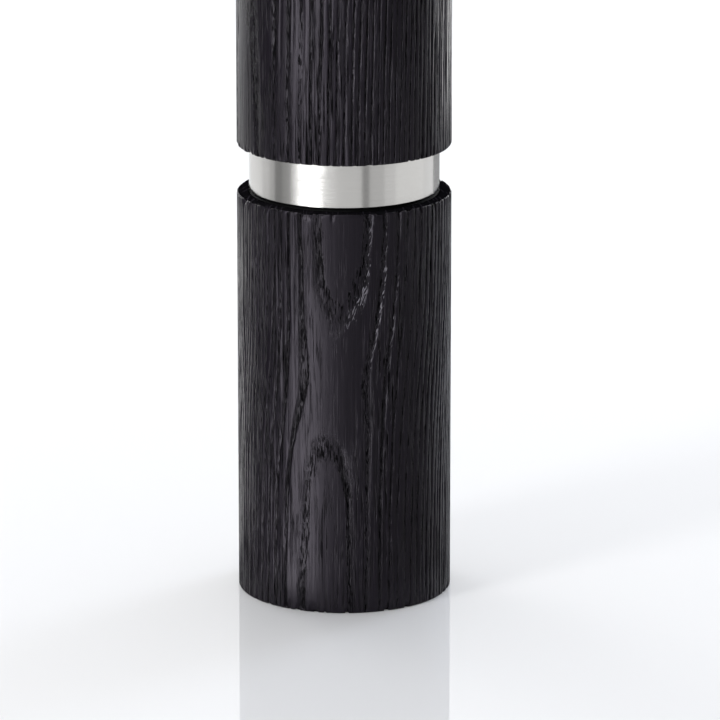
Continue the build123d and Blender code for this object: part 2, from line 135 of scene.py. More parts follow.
def spinProfile(name, points, steps, body, cadNode):
    # a turned piece: its closed outline in the XZ plane, in millimetres, spun round Z
    sectors = 2 ** turning["doublings"]
    sector = 2 * math.pi / sectors  # one sector is spun, then doubled round, which is quicker
    bm = bmesh.new()
    corners = [bm.verts.new((r * mm, 0, z * mm)) for r, z in points]
    for pair in zip(corners, corners[1:] + corners[:1]):
        bm.edges.new(pair)
    outline = bm.verts[:] + bm.edges[:]
    bmesh.ops.spin(
        bm, geom=outline, cent=(0, 0, 0), axis=(0, 0, 1), angle=sector, steps=steps // sectors
    )
    for i in range(turning["doublings"]):
        made = bmesh.ops.duplicate(bm, geom=bm.verts[:] + bm.edges[:] + bm.faces[:])["geom"]
        copied = [part for part in made if isinstance(part, bmesh.types.BMVert)]
        turned = Matrix.Rotation(sector * 2**i, 3, "Z")
        bmesh.ops.rotate(bm, verts=copied, cent=(0, 0, 0), matrix=turned)
    bmesh.ops.remove_doubles(bm, verts=bm.verts, dist=turning["weld"] * mm)
    bmesh.ops.recalc_face_normals(bm, faces=bm.faces)
    for face in bm.faces:
        face.smooth = True
    piece = newPiece(name, cadNode)
    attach(piece, body)
    return piece, bm


def finishMesh(piece, bm, *materials):
    bm.to_mesh(piece.data)
    bm.free()
    for material in materials:
        piece.data.materials.append(material)


def rowsBetween(low, high, count):
    return [low + (high - low) * i / count for i in range(count + 1)]


def nodeSpan(name):  # radius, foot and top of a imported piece, in millimetres
    low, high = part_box(name)
    return high.x / mm, low.z / mm, high.z / mm


bodyRadius, bodyFoot, bodyTop = nodeSpan("body_shell")
headRadius, headFoot, headTop = nodeSpan("head_shell")
collarRadius, collarFoot, collarTop = nodeSpan("collar_ring")

# Oak grain. A ring count rises by one for each year's growth, and its fraction says how far
# through the year the wood is: soft, porous early wood first, then hard late wood.
bodyOak = {
    "columns": 704,
    "rows": 114,
    "faceTurn": -5.8,  # degrees from the front to the middle of the flat-sawn figure
    "faceDrift": 6.0,  # degrees that it drifts aside, above and below
    "driftReach": 28.0,  # mm over which most of that comes
    "faceRing": 1.2,  # mm, width of the first ring
    "deepRing": 1.2,  # mm, width of those deep inside
    "ringFade": 6.0,  # mm over which the one becomes the other
    "sideLean": -0.1,  # how much wider the rings are on the left
    "pith": 130.0,  # mm from the face to the middle of the tree
    "pinchHeight": 63.8,  # mm, where the figure pinches
    "pinchLength": 22.0,
    "pinchWidth": 15.0,
    "pinchRise": 0.46,
    "pinchDepth": 1.15,
    "calmTurn": 31.0,  # degrees from the front to the middle of the smoothest side
    "calmWidth": 19.0,
    "crispGlintPatch": (16.0, 21.0, 88.0, 29.0),  # crisp pores, with painted glints on their lips: turn, half width, height, half height
    "crispGlintStrength": 1.0,
    "groove": 0.5,  # mm brushed out of the early wood
    "streak": 0.16,  # mm, fine lines between the grooves
    "chip": 0.55,  # mm broken out of the rims here and there
    "rims": (bodyFoot, bodyTop),
    "seed": 3.0,
}
headOak = {
    "columns": 704,
    "rows": 82,
    "faceTurn": -66.0,
    "faceDrift": 3.0,
    "driftReach": 50.0,
    "faceRing": 2.2,
    "deepRing": 1.55,
    "ringFade": 8.0,
    "sideLean": 0.0,
    "pith": 130.0,
    "pinchHeight": 190.0,
    "pinchLength": 40.0,
    "pinchWidth": 15.0,
    "pinchRise": 0.4,
    "pinchDepth": 0.9,
    "calmTurn": -24.5,
    "calmWidth": 6.0,
    "crispGlintPatch": (10.0, 17.0, 150.0, 70.0),
    "crispGlintStrength": 0.36,
    "groove": 0.42,
    "streak": 0.2,
    "chip": 0.4,
    "rims": (headFoot, headTop),
    "seed": 41.0,
}

# Unevenness of the wood: mm across and along the grain, what it adds to the seed, and its strength
wavers = {
    "sway": (24, 60, 0, 0.3),  # slow bends of the rings
    "wobble": (4, 20, 9, 0.16),  # quick ones
    "patches": (4, 26, 21, 1.2),  # how deep the brush went
    "jags": (0.8, 3.0, 33, 0.85),  # ragged edges of a groove
    "lines": (0.85, 34, 57, 1.0),  # fine lines between grooves
    "chips": (1.5, 6, 77, 1.0),  # breaks along a rim
}
poreSpan = {"starts": (0, 0.05), "ends": (0.14, 0.36)}  # parts of a ring where its pores come and go
brushing = {
    "endGrain": 0.75,  # a face whose normal is more upright than this is end grain
    "turnStep": 0.02,  # radians, and mm: steps to the neighbours that give the rings' slope
    "riseStep": 0.5,
    "grooveSlope": (0.03, 0.15),  # rings for each mm of the surface, from no groove to a full one
    "plainSlope": (0.05, 0.14),  # from a plain face to none
    "plainRise": (-2.0, -0.8),  # pinch lengths from the pinch, from no plain face to a full one
    "lineSlope": (0.1, 0.4),
    "lineDepth": (0.3, 0.2, 0.7),  # on flat rings, less on a plain face, more on steep rings
    "lineShare": (0.05, 0.45),  # of the noise, from no line to a full one
    "patchDepth": (0.78, 0.1, 1.35),  # usual, least and most
    "jagDepth": 0.72,
    "calming": 0.6,  # how much of the grooves the smoothest side loses
    "chipShare": (0.12, 0.42),
    "chipReach": (0.2, 2.4),  # mm from a rim, from full chips to none
    "chipWidth": 1.2,  # mm in from the wall
}


def waver(kind, oak, point):
    across, along, offset, strength = wavers[kind]
    seed = oak["seed"] + offset
    place = Vector((point.x / across + seed, point.y / across - seed, point.z / along))
    return strength * noise.noise(place)


def fromPith(oak, point):  # how far in front of the tree's middle, and how far aside
    drift = oak["faceDrift"] * math.tanh((point.z - oak["pinchHeight"]) / oak["driftReach"])
    turn = math.radians(oak["faceTurn"] + drift)
    toFace = point.x * math.sin(turn) - point.y * math.cos(turn)
    across = point.x * math.cos(turn) + point.y * math.sin(turn)
    return oak["pith"] - bodyRadius + toFace, across


def ringCount(oak, point):
    rise = point.z - oak["pinchHeight"]
    toPith, across = fromPith(oak, point)
    depth = oak["pith"] - math.hypot(toPith, across)
    pinch = math.exp(-((rise / oak["pinchLength"]) ** 2) - (across / oak["pinchWidth"]) ** 2)
    depth -= oak["pinchRise"] - oak["pinchDepth"] * pinch
    depth += waver("sway", oak, point) + waver("wobble", oak, point)
    depth /= 1 - oak["sideLean"] * across / bodyRadius
    face, deep, fade = oak["faceRing"], oak["deepRing"], oak["ringFade"]
    return fade / deep * math.log((deep * math.exp(depth / fade) + face - deep) / face)


def smoothStep(low, high, value):
    t = min(max((value - low) / (high - low), 0), 1)
    return t * t * (3 - 2 * t)


def earlyWood(count):  # 1 in the pores of a ring, 0 in its late wood
    part = count % 1
    return smoothStep(*poreSpan["starts"], part) * (1 - smoothStep(*poreSpan["ends"], part))


def brushGrain(bm, oak, isBrushed):
    # brushing takes out the soft wood: each brushed vertex sinks along its own normal
    ringLayer = bm.verts.layers.float.new("growthRing")
    cutLayer = bm.verts.layers.float.new("grooveCut")
    crispGlintLayer = bm.verts.layers.float.new("crispGlintEdge")
    rayLayer = bm.verts.layers.float.new("rayPlace")
    plainLayer = bm.verts.layers.float.new("plainFace")
    crispTurn, crispWidth, crispHeight, crispTall = oak["crispGlintPatch"]
    bm.normal_update()
    for face in bm.faces:
        face.material_index = int(abs(face.normal.z) > brushing["endGrain"])
    brushed = {v: v.normal.copy() for v in bm.verts if isBrushed(v.co / mm)}
    turnStep, riseStep = brushing["turnStep"], brushing["riseStep"]
    aside = Matrix.Rotation(turnStep, 3, "Z")
    above = Vector((0, 0, riseStep))
    usualPatch, leastPatch, mostPatch = brushing["patchDepth"]
    flatLine, plainLine, steepLine = brushing["lineDepth"]
    for v in bm.verts:
        v[ringLayer] = ringCount(oak, v.co / mm)
        toPith, across = fromPith(oak, v.co / mm)
        v[rayLayer] = oak["pith"] * math.atan2(across, toPith)  # mm round the tree
    for v, normal in brushed.items():
        point = v.co / mm
        # rings that lie flat in the surface show as pores alone, and steeper ones as grooves
        sideways = (ringCount(oak, aside @ point) - v[ringLayer]) / (turnStep * bodyRadius)
        upwards = (ringCount(oak, point + above) - v[ringLayer]) / riseStep
        steep = math.hypot(sideways, upwards)  # rings for each mm of the surface
        fromPinch = (point.z - oak["pinchHeight"]) / oak["pinchLength"]
        plain = 1 - smoothStep(*brushing["plainSlope"], steep)
        plain *= smoothStep(*brushing["plainRise"], fromPinch)
        v[plainLayer] = plain
        cut = smoothStep(*brushing["grooveSlope"], steep)
        cut *= min(max(usualPatch + waver("patches", oak, point), leastPatch), mostPatch)
        turn = math.degrees(math.atan2(point.x, -point.y))
        calm = math.exp(-(((turn - oak["calmTurn"]) / oak["calmWidth"]) ** 2))
        cut *= 1 - brushing["calming"] * calm
        jagged = max(brushing["jagDepth"] + waver("jags", oak, point), 0)
        lines = smoothStep(*brushing["lineShare"], waver("lines", oak, point))
        steepness = smoothStep(*brushing["lineSlope"], steep)
        lines *= flatLine - plainLine * v[plainLayer] + steepLine * steepness
        if abs(normal.z) > brushing["endGrain"]:  # end grain doesn't brush out
            cut, lines = 0.0, 0.0
        v[cutLayer] = cut
        # where the crisp pores go, each with its painted glint
        crispAside = (turn - crispTurn) / crispWidth
        crispRise = (point.z - crispHeight) / crispTall
        v[crispGlintLayer] = oak["crispGlintStrength"] * math.exp(-(crispAside**2) - crispRise**2)
        fromRim = min(abs(point.z - rim) for rim in oak["rims"])
        chips = smoothStep(*brushing["chipShare"], waver("chips", oak, point))
        chips *= 1 - smoothStep(*brushing["chipReach"], fromRim)
        if math.hypot(point.x, point.y) < bodyRadius - brushing["chipWidth"]:
            chips = 0.0
        sunk = oak["groove"] * earlyWood(v[ringLayer]) * cut * jagged
        sunk += oak["streak"] * lines
        sunk += oak["chip"] * chips
        v.co -= normal * sunk * mm
    bm.normal_update()


blackOak = {
    "sockets": {"IOR": 1.5, "Specular IOR Level": 0.2},
    "tones": ("#0c0a0e", "#19151d"),  # stain in the darkest and the palest streaks
    "poreTone": "#030304",
    "paintedGlintTone": "#7f7c83",  # painted highlight: the glint off the far lip of a crisp pore
    "glossTints": ("#f8f1ff", "#383539"),  # on the ridges, and down in the pores, where it is dimmed partly as painted shade
    "satin": (0.4, 0.28),  # roughness of the darkest and the palest streaks
    "fray": (0.5, 4.0),  # mm across and along the grain, of this pattern and the next six
    "pores": (0.3, 2.4),
    "hairs": (0.42, 13.0),
    "wear": (7.0, 40.0),
    # where the painted glint lines show and where they break off
    "glintBreaks": (1.6, 9.0),
    "threads": (0.35, 24.0),
    "slits": (0.34, 1.9),
    "slitLean": 20.0,  # degrees
    "glintShift": 0.22,  # mm from a slit to its painted glint
    "fraying": 0.3,  # of a ring
    "plainStreaks": 0.3,  # share of its streaks that a plain face keeps
    "leastWear": 0.1,
    "poreShare": (0.5, 0.57),  # of each pattern, from where it starts to show to where it is full
    "hairShare": (0.53, 0.62),
    "wearShare": (0.38, 0.62),
    "slitShare": (0.58, 0.64),
    "glintBreakShare": (0.45, 0.6),
    "streakShare": (0.3, 0.7),
    "crispGlintShare": (0.5, 0.85),  # the same for the mesh's own values
    "cutShare": (0.15, 0.35),
    "glossShare": (0.55, 0.95),
    "earlyWood": [(0.0, 0.0), (0.14, 0.0), (0.16, 1.0), (0.34, 0.85), (0.5, 0.0)],  # along a ring
    "poreEdge": [(0.3, 0.0), (0.36, 1.0), (0.48, 1.0), (0.52, 0.0)],
    # along a ring, where its painted glint line lies
    "glintBand": [(0.42, 0.0), (0.47, 1.0), (0.53, 0.0)],
    "grooveDeep": 0.14,  # mm
    "poreDeep": 0.16,
    "streakHigh": 0.025,
}


def stainedOak(look):
    # open-grained oak, wire-brushed and stained black: satin ridges, dull dark pores, and painted
    # glints along some pores and ring edges
    material, tree, shader = newMaterial("brushedBlackOak", **look["sockets"])
    meshValues = ("growthRing", "grooveCut", "plainFace", "crispGlintEdge")
    ring, cut, plain, crispGlint = [
        addNode(tree, "ShaderNodeAttribute", attribute_name=name).outputs["Fac"] for name in meshValues
    ]
    fray = grainPattern(tree, *look["fray"], detail=3.0, roughness=0.65)
    ragged = {0: fray, 1: look["fraying"], 2: ring}
    frayed = addNode(tree, "ShaderNodeMath", ragged, operation="MULTIPLY_ADD").outputs[0]
    part = addNode(tree, "ShaderNodeMath", {0: frayed}, operation="FRACT").outputs[0]
    early, poreEdge, glintBand = [
        addNode(tree, "ShaderNodeValToRGB", {"Fac": part}, stops=look[name]).outputs["Color"]
        for name in ("earlyWood", "poreEdge", "glintBand")
    ]
    grooved = addNode(tree, "ShaderNodeMath", {0: early, 1: cut}, operation="MULTIPLY").outputs[0]
    dashes = grainPattern(tree, *look["pores"], detail=1.0)
    pores = addNode(tree, "ShaderNodeMapRange", fromShare(dashes, *look["poreShare"])).outputs[0]
    pits = addNode(tree, "ShaderNodeMath", {0: early, 1: pores}, operation="MULTIPLY").outputs[0]
    hairs = grainPattern(tree, *look["hairs"], detail=2.0, roughness=0.6)
    cracks = addNode(tree, "ShaderNodeMapRange", fromShare(hairs, *look["hairShare"])).outputs[0]
    wear = fromShare(grainPattern(tree, *look["wear"]), *look["wearShare"])
    worn = addNode(tree, "ShaderNodeMapRange", {**wear, "To Min": look["leastWear"]}).outputs[0]
    # the plain face of a ring brushes up smooth
    lively = addNode(tree, "ShaderNodeMapRange", toSpan(plain, 1.0, look["plainStreaks"])).outputs[0]
    loose = addNode(tree, "ShaderNodeMath", {0: worn, 1: lively}, operation="MULTIPLY").outputs[0]
    fibres = addNode(tree, "ShaderNodeMath", {0: cracks, 1: loose}, operation="MULTIPLY").outputs[0]
    hollow = addNode(tree, "ShaderNodeMath", {0: pits, 1: fibres}, operation="MAXIMUM").outputs[0]
    # pores with crisp edges lean with the rings: a dark slit and, on its far side, a painted highlight,
    # a pale glint on its lip
    sharp = addNode(tree, "ShaderNodeMapRange", fromShare(crispGlint, *look["crispGlintShare"])).outputs[0]
    atPores = addNode(tree, "ShaderNodeMath", {0: sharp, 1: poreEdge}, operation="MULTIPLY").outputs[0]
    place = addNode(tree, "ShaderNodeTexCoord").outputs["Object"]
    slitAcross, slitAlong = look["slits"]
    lean = {
        "Vector": place,
        "Rotation": (0, math.radians(look["slitLean"]), math.radians(bodyOak["crispGlintPatch"][0])),
        "Scale": (slitAcross * mm, slitAcross * mm, slitAlong * mm),
    }
    edges = []
    for aside in (0.0, look["glintShift"] * mm):  # the slit, then its painted glint
        leaning = {**lean, "Location": (aside, 0, 0)}
        along = addNode(tree, "ShaderNodeMapping", leaning, vector_type="TEXTURE").outputs[0]
        dashes = addNode(tree, "ShaderNodeTexNoise", {"Vector": along, "Scale": 1.0, "Detail": 1.0})
        slits = fromShare(dashes.outputs["Fac"], *look["slitShare"])
        shown = addNode(tree, "ShaderNodeMapRange", slits).outputs[0]
        edge = addNode(tree, "ShaderNodeMath", {0: shown, 1: atPores}, operation="MULTIPLY")
        edges.append(edge.outputs[0])
    slit, lip = edges
    # painted highlight: a thin pale line where a ring's groove ends, for the glint off its edge
    steep = addNode(tree, "ShaderNodeMapRange", fromShare(cut, *look["cutShare"])).outputs[0]
    glintBreaks = grainPattern(tree, *look["glintBreaks"])
    glintShown = addNode(tree, "ShaderNodeMapRange", fromShare(glintBreaks, *look["glintBreakShare"])).outputs[0]
    for share in (steep, glintShown, crispGlint):
        glintBand = addNode(tree, "ShaderNodeMath", {0: glintBand, 1: share}, operation="MULTIPLY").outputs[0]
    lip = addNode(tree, "ShaderNodeMath", {0: lip, 1: glintBand}, operation="MAXIMUM").outputs[0]
    hollow = addNode(tree, "ShaderNodeMath", {0: hollow, 1: slit}, operation="MAXIMUM").outputs[0]
    # streaks of stain, drawn in to their middle where the face is plain
    threads = grainPattern(tree, *look["threads"], detail=3.0, roughness=0.65)
    spread = addNode(tree, "ShaderNodeMath", {0: threads, 1: 0.5}, operation="SUBTRACT").outputs[0]
    calmed = addNode(tree, "ShaderNodeMath", {0: spread, 1: lively, 2: 0.5}, operation="MULTIPLY_ADD")
    streak = calmed.outputs[0]
    stops = [(share, hexColour(code)) for share, code in zip(look["streakShare"], look["tones"])]
    tone = addNode(tree, "ShaderNodeValToRGB", {"Fac": streak}, stops=stops).outputs["Color"]
    dark = addNode(tree, "ShaderNodeMath", {0: grooved, 1: hollow}, operation="MAXIMUM").outputs[0]
    stained = {"Fac": dark, "Color1": tone, "Color2": hexColour(look["poreTone"])}
    stain = addNode(tree, "ShaderNodeMixRGB", stained, use_clamp=True).outputs["Color"]
    # painted highlight: the glints go into the base colour
    glinted = {"Fac": lip, "Color1": stain, "Color2": hexColour(look["paintedGlintTone"])}
    colour = addNode(tree, "ShaderNodeMixRGB", glinted).outputs["Color"]
    tree.links.new(colour, shader.inputs["Base Color"])
    # little gloss down in the pores: their floors are dull, and the dimming is partly painted shade for
    # the holes
    floors = addNode(tree, "ShaderNodeMapRange", fromShare(hollow, *look["glossShare"])).outputs[0]
    ridgeGloss, poreGloss = [hexColour(code) for code in look["glossTints"]]
    glossy = {"Fac": floors, "Color1": ridgeGloss, "Color2": poreGloss}
    shine = addNode(tree, "ShaderNodeMixRGB", glossy).outputs["Color"]
    tree.links.new(shine, shader.inputs["Specular Tint"])
    satin = {**fromShare(streak, *look["streakShare"]), **toSpan(streak, *look["satin"])}
    rough = addNode(tree, "ShaderNodeMapRange", satin).outputs[0]
    tree.links.new(rough, shader.inputs["Roughness"])
    grooves = {0: grooved, 1: -look["grooveDeep"]}
    height = addNode(tree, "ShaderNodeMath", grooves, operation="MULTIPLY").outputs[0]
    for value, tall in ((hollow, -look["poreDeep"]), (streak, look["streakHigh"])):
        raised = {0: value, 1: tall, 2: height}
        height = addNode(tree, "ShaderNodeMath", raised, operation="MULTIPLY_ADD").outputs[0]
    bump = addNode(tree, "ShaderNodeBump", {"Height": height, "Strength": 1.0, "Distance": mm})
    tree.links.new(bump.outputs["Normal"], shader.inputs["Normal"])
    return material


cutAcross = {
    "tones": ("#131215", "#030304"),  # late wood, and pores
    "toneShare": (0.1, 0.6),
    "rayTone": "#2b282e",
    "rayScale": (1.6, 0.11),  # for each mm round the tree, and for each ring
    "rayShare": (0.6, 0.66),
    "specks": 0.3,  # mm
    "porous": (0.45, 0.05),  # part of a ring, from late wood to full of pores
    "rough": (0.6, 0.85),
    "poreDeep": 0.2,  # mm
    # no gloss on the seat, so that the ledge round the collar stays black: partly painted shade under
    # the collar
    "seatGloss": 0.0,
    "crownGloss": 0.05,  # the crown is sanded finer, so a little gloss is left
}


def endGrainOak(name, look, gloss):
    # the same oak cut across: open pores drink the stain, so it is flat black, with fine paler rays
    material, tree, shader = newMaterial(name, **{"IOR": 1.5, "Specular IOR Level": gloss})
    ring = addNode(tree, "ShaderNodeAttribute", attribute_name="growthRing").outputs["Fac"]
    aside = addNode(tree, "ShaderNodeAttribute", attribute_name="rayPlace").outputs["Fac"]
    part = addNode(tree, "ShaderNodeMath", {0: ring}, operation="FRACT").outputs[0]
    specks = grainPattern(tree, look["specks"], look["specks"], detail=1.0)
    porous = addNode(tree, "ShaderNodeMapRange", fromShare(part, *look["porous"])).outputs[0]
    pits = addNode(tree, "ShaderNodeMath", {0: porous, 1: specks}, operation="MULTIPLY").outputs[0]
    stops = [(share, hexColour(code)) for share, code in zip(look["toneShare"], look["tones"])]
    tone = addNode(tree, "ShaderNodeValToRGB", {"Fac": pits}, stops=stops).outputs["Color"]
    rayAcross, rayAlong = [
        addNode(tree, "ShaderNodeMath", {0: value, 1: scale}, operation="MULTIPLY").outputs[0]
        for value, scale in zip((aside, ring), look["rayScale"])
    ]
    rayPlace = addNode(tree, "ShaderNodeCombineXYZ", {"X": rayAcross, "Y": rayAlong}).outputs[0]
    waves = addNode(tree, "ShaderNodeTexNoise", {"Vector": rayPlace, "Scale": 1.0, "Detail": 1.0})
    rays = fromShare(waves.outputs["Fac"], *look["rayShare"])
    shown = addNode(tree, "ShaderNodeMapRange", rays).outputs[0]
    rayed = {"Fac": shown, "Color1": tone, "Color2": hexColour(look["rayTone"])}
    colour = addNode(tree, "ShaderNodeMixRGB", rayed).outputs["Color"]
    tree.links.new(colour, shader.inputs["Base Color"])
    rough = addNode(tree, "ShaderNodeMapRange", toSpan(pits, *look["rough"])).outputs[0]
    tree.links.new(rough, shader.inputs["Roughness"])
    holes = {0: pits, 1: -look["poreDeep"]}
    sunk = addNode(tree, "ShaderNodeMath", holes, operation="MULTIPLY").outputs[0]
    bump = addNode(tree, "ShaderNodeBump", {"Height": sunk, "Strength": 1.0, "Distance": mm})
    tree.links.new(bump.outputs["Normal"], shader.inputs["Normal"])
    return material


collarSteel = {
    "sockets": {
        "Base Color": hexColour("#d8d7d5"),
        "Metallic": 1.0,
        "Anisotropic": 0.4,
        "Anisotropic Rotation": 0.25,  # gloss spreads across the brushed lines
    },
    "lines": (18.0, 0.16),  # mm round the turn and up: coarser than real, so that they show
    "rough": (0.08, 0.28),
    "bump": 0.5,
    "lineDeep": 0.0022,  # mm
}
# near-black for the groove under the collar: painted shade, for the shadow down in the gap
grooveShadeLook = {
    "sockets": {"IOR": 1.5, "Specular IOR Level": 0.05},
    "tones": ("#020203", "#060607"),
    "toneShare": (0.3, 0.7),
    "cloud": (1.2, 0.4),  # mm round the turn and up
    "rough": (0.55, 0.75),
}


def brushedStainless(look):
    # stainless steel, brushed round the turn: bright and dark bands that run up and down
    material, tree, shader = newMaterial("brushedStainless", **look["sockets"])
    lines = grainPattern(tree, *look["lines"], detail=3.0, roughness=0.6)
    rough = addNode(tree, "ShaderNodeMapRange", toSpan(lines, *look["rough"])).outputs[0]
    tree.links.new(rough, shader.inputs["Roughness"])
    tangent = addNode(tree, "ShaderNodeTangent", direction_type="RADIAL", axis="Z")
    tree.links.new(tangent.outputs["Tangent"], shader.inputs["Tangent"])
    scored = {"Height": lines, "Strength": look["bump"], "Distance": look["lineDeep"] * mm}
    bump = addNode(tree, "ShaderNodeBump", scored)
    tree.links.new(bump.outputs["Normal"], shader.inputs["Normal"])
    return material


def paintedShadeSteel(look):
    # painted shade: steel made dull and nearly black, with a faint cloud in it, so that the groove
    # reads as a shadow
    material, tree, shader = newMaterial("paintedShadeSteel", **look["sockets"])
    cloud = grainPattern(tree, *look["cloud"], detail=3.0)
    stops = [(share, hexColour(code)) for share, code in zip(look["toneShare"], look["tones"])]
    tone = addNode(tree, "ShaderNodeValToRGB", {"Fac": cloud}, stops=stops)
    tree.links.new(tone.outputs["Color"], shader.inputs["Base Color"])
    rough = addNode(tree, "ShaderNodeMapRange", toSpan(cloud, *look["rough"])).outputs[0]
    tree.links.new(rough, shader.inputs["Roughness"])
    return material


longGrain = stainedOak(blackOak)
endGrain = endGrainOak("endGrainBlackOak", cutAcross, cutAcross["seatGloss"])
crownGrain = endGrainOak("sandedEndGrainBlackOak", cutAcross, cutAcross["crownGloss"])
steel = brushedStainless(collarSteel)
grooveShade = paintedShadeSteel(grooveShadeLook)
print("oak and steel mixed")

# Oak body: the wall is in fine rows for the grain, the bores are plain
edgeEase = 0.6  # mm
ringRows = 6  # rows across a flat ring at a rim
brushMargin = 0.1  # mm off a bore that the brush doesn't reach
bodyBores = {
    "recess": (25.5, 7.0),  # mm, radius and roof of the grinder's recess in the foot
    "barrel": (18.5, 37.8),
    "hopper": 22.3,
    "seat": 25.8,  # round the collar
}


def easedEdge(radius, height, up):
    # points round a broken edge, from the wall on to the flat: up is 1 at a top, -1 at a foot
    points = []
    for degrees in (0, 30, 60, 90):
        turn = math.radians(degrees)
        inwards, back = 1 - math.cos(turn), 1 - math.sin(turn)
        points.append((radius - edgeEase * inwards, height - up * edgeEase * back))
    return points


def oakWall(oak, radius, foot, top):  # foot edge, wall and top edge, from the foot up
    rows = rowsBetween(foot + edgeEase, top - edgeEase, oak["rows"])
    wall = [(radius, z) for z in rows[1:-1]]
    return easedEdge(radius, foot, -1)[::-1] + wall + easedEdge(radius, top, 1)


recessRadius, recessRoof = bodyBores["recess"]
barrelRadius, barrelTop = bodyBores["barrel"]
hopperRadius, seatRadius = bodyBores["hopper"], bodyBores["seat"]
footRing = [(r, bodyFoot) for r in rowsBetween(recessRadius, bodyRadius - edgeEase, ringRows)[:-1]]
topRing = [(r, bodyTop) for r in rowsBetween(bodyRadius - edgeEase, seatRadius, ringRows)[1:]]
bodyOutline = footRing + oakWall(bodyOak, bodyRadius, bodyFoot, bodyTop) + topRing
bodyOutline += [(seatRadius, collarFoot), (hopperRadius, collarFoot), (hopperRadius, barrelTop)]
bodyOutline += [(barrelRadius, barrelTop), (barrelRadius, recessRoof), (recessRadius, recessRoof)]
bodySkin, bodyMesh = spinProfile(
    "oakBody", bodyOutline, bodyOak["columns"], "body", "body_shell"
)
brushGrain(bodyMesh, bodyOak, lambda p: math.hypot(p.x, p.y) > seatRadius + brushMargin)
finishMesh(bodySkin, bodyMesh, longGrain, endGrain)
print("oak body turned:", len(bodySkin.data.polygons), "faces")

# Oak head: its crown is in rows as well, for the rings and rays of its end grain
headBores = {"mouth": 26.05, "plug": 23.45, "flangeTop": 135.5, "plugTop": 162.5}  # mm
crownRows = 34
mouthRadius, plugRadius = headBores["mouth"], headBores["plug"]
lipRing = [(r, headFoot) for r in rowsBetween(mouthRadius, headRadius - edgeEase, ringRows)[:-1]]
crown = [(r, headTop) for r in rowsBetween(headRadius - edgeEase, 0, crownRows)[1:]]
headOutline = lipRing + oakWall(headOak, headRadius, headFoot, headTop) + crown
headOutline += [(0, headBores["plugTop"]), (plugRadius, headBores["plugTop"])]
headOutline += [(plugRadius, headBores["flangeTop"]), (mouthRadius, headBores["flangeTop"])]
headSkin, headMesh = spinProfile(
    "oakHead", headOutline, headOak["columns"], "head", "head_shell"
)


def onHeadOutside(p):
    return math.hypot(p.x, p.y) > mouthRadius + brushMargin or p.z > headTop - brushMargin


brushGrain(headMesh, headOak, onHeadOutside)
finishMesh(headSkin, headMesh, longGrain, crownGrain)
print("oak head turned:", len(headSkin.data.polygons), "faces")

# Steel collar, with its rims broken and a groove where it leaves the oak, painted near-black as shade
collar = {"wall": 1.2, "rim": 0.15, "hold": 0.2, "columns": 256}  # mm, and steps round the turn
groove = {"tall": 0.8, "deep": 0.5, "sunk": 0.2, "lip": 0.08, "slack": 0.01}  # mm
collarInner = collarRadius - collar["wall"]
rim = collar["rim"]
hold = collar["rim"] + collar["hold"]  # a second row holds the wall straight up to the rim
grooveRadius = collarRadius - groove["deep"]
grooveFoot, grooveTop = bodyTop - groove["sunk"], bodyTop + groove["tall"]
collarOutline = [
    (collarInner, collarFoot + rim),
    (collarInner + rim, collarFoot),
    (collarRadius - rim, collarFoot),
    (collarRadius, collarFoot + rim),
    (collarRadius, collarFoot + hold),
    (collarRadius, grooveFoot),
    (grooveRadius, grooveFoot),
    (grooveRadius, grooveTop),
    (collarRadius - groove["lip"], grooveTop),
    (collarRadius, grooveTop + groove["lip"]),
    (collarRadius, grooveTop + groove["lip"] + collar["hold"]),
    (collarRadius, collarTop - hold),
    (collarRadius, collarTop - rim),
    (collarRadius - rim, collarTop),
    (collarInner + rim, collarTop),
    (collarInner, collarTop - rim),
    (collarInner, collarTop - hold),
    (collarInner, collarFoot + hold),
]
collarSkin, collarMesh = spinProfile(
    "steelCollar", collarOutline, collar["columns"], "body", "collar_ring"
)
# the groove's outer faces get the painted shade
for face in collarMesh.faces:
    middle = face.calc_center_median() / mm
    inGroove = grooveFoot - groove["slack"] < middle.z < grooveTop + groove["slack"]
    onOutside = math.hypot(middle.x, middle.y) > collarInner + rim
    face.material_index = int(inGroove and onOutside)
finishMesh(collarSkin, collarMesh, steel, grooveShade)
print("collar turned")

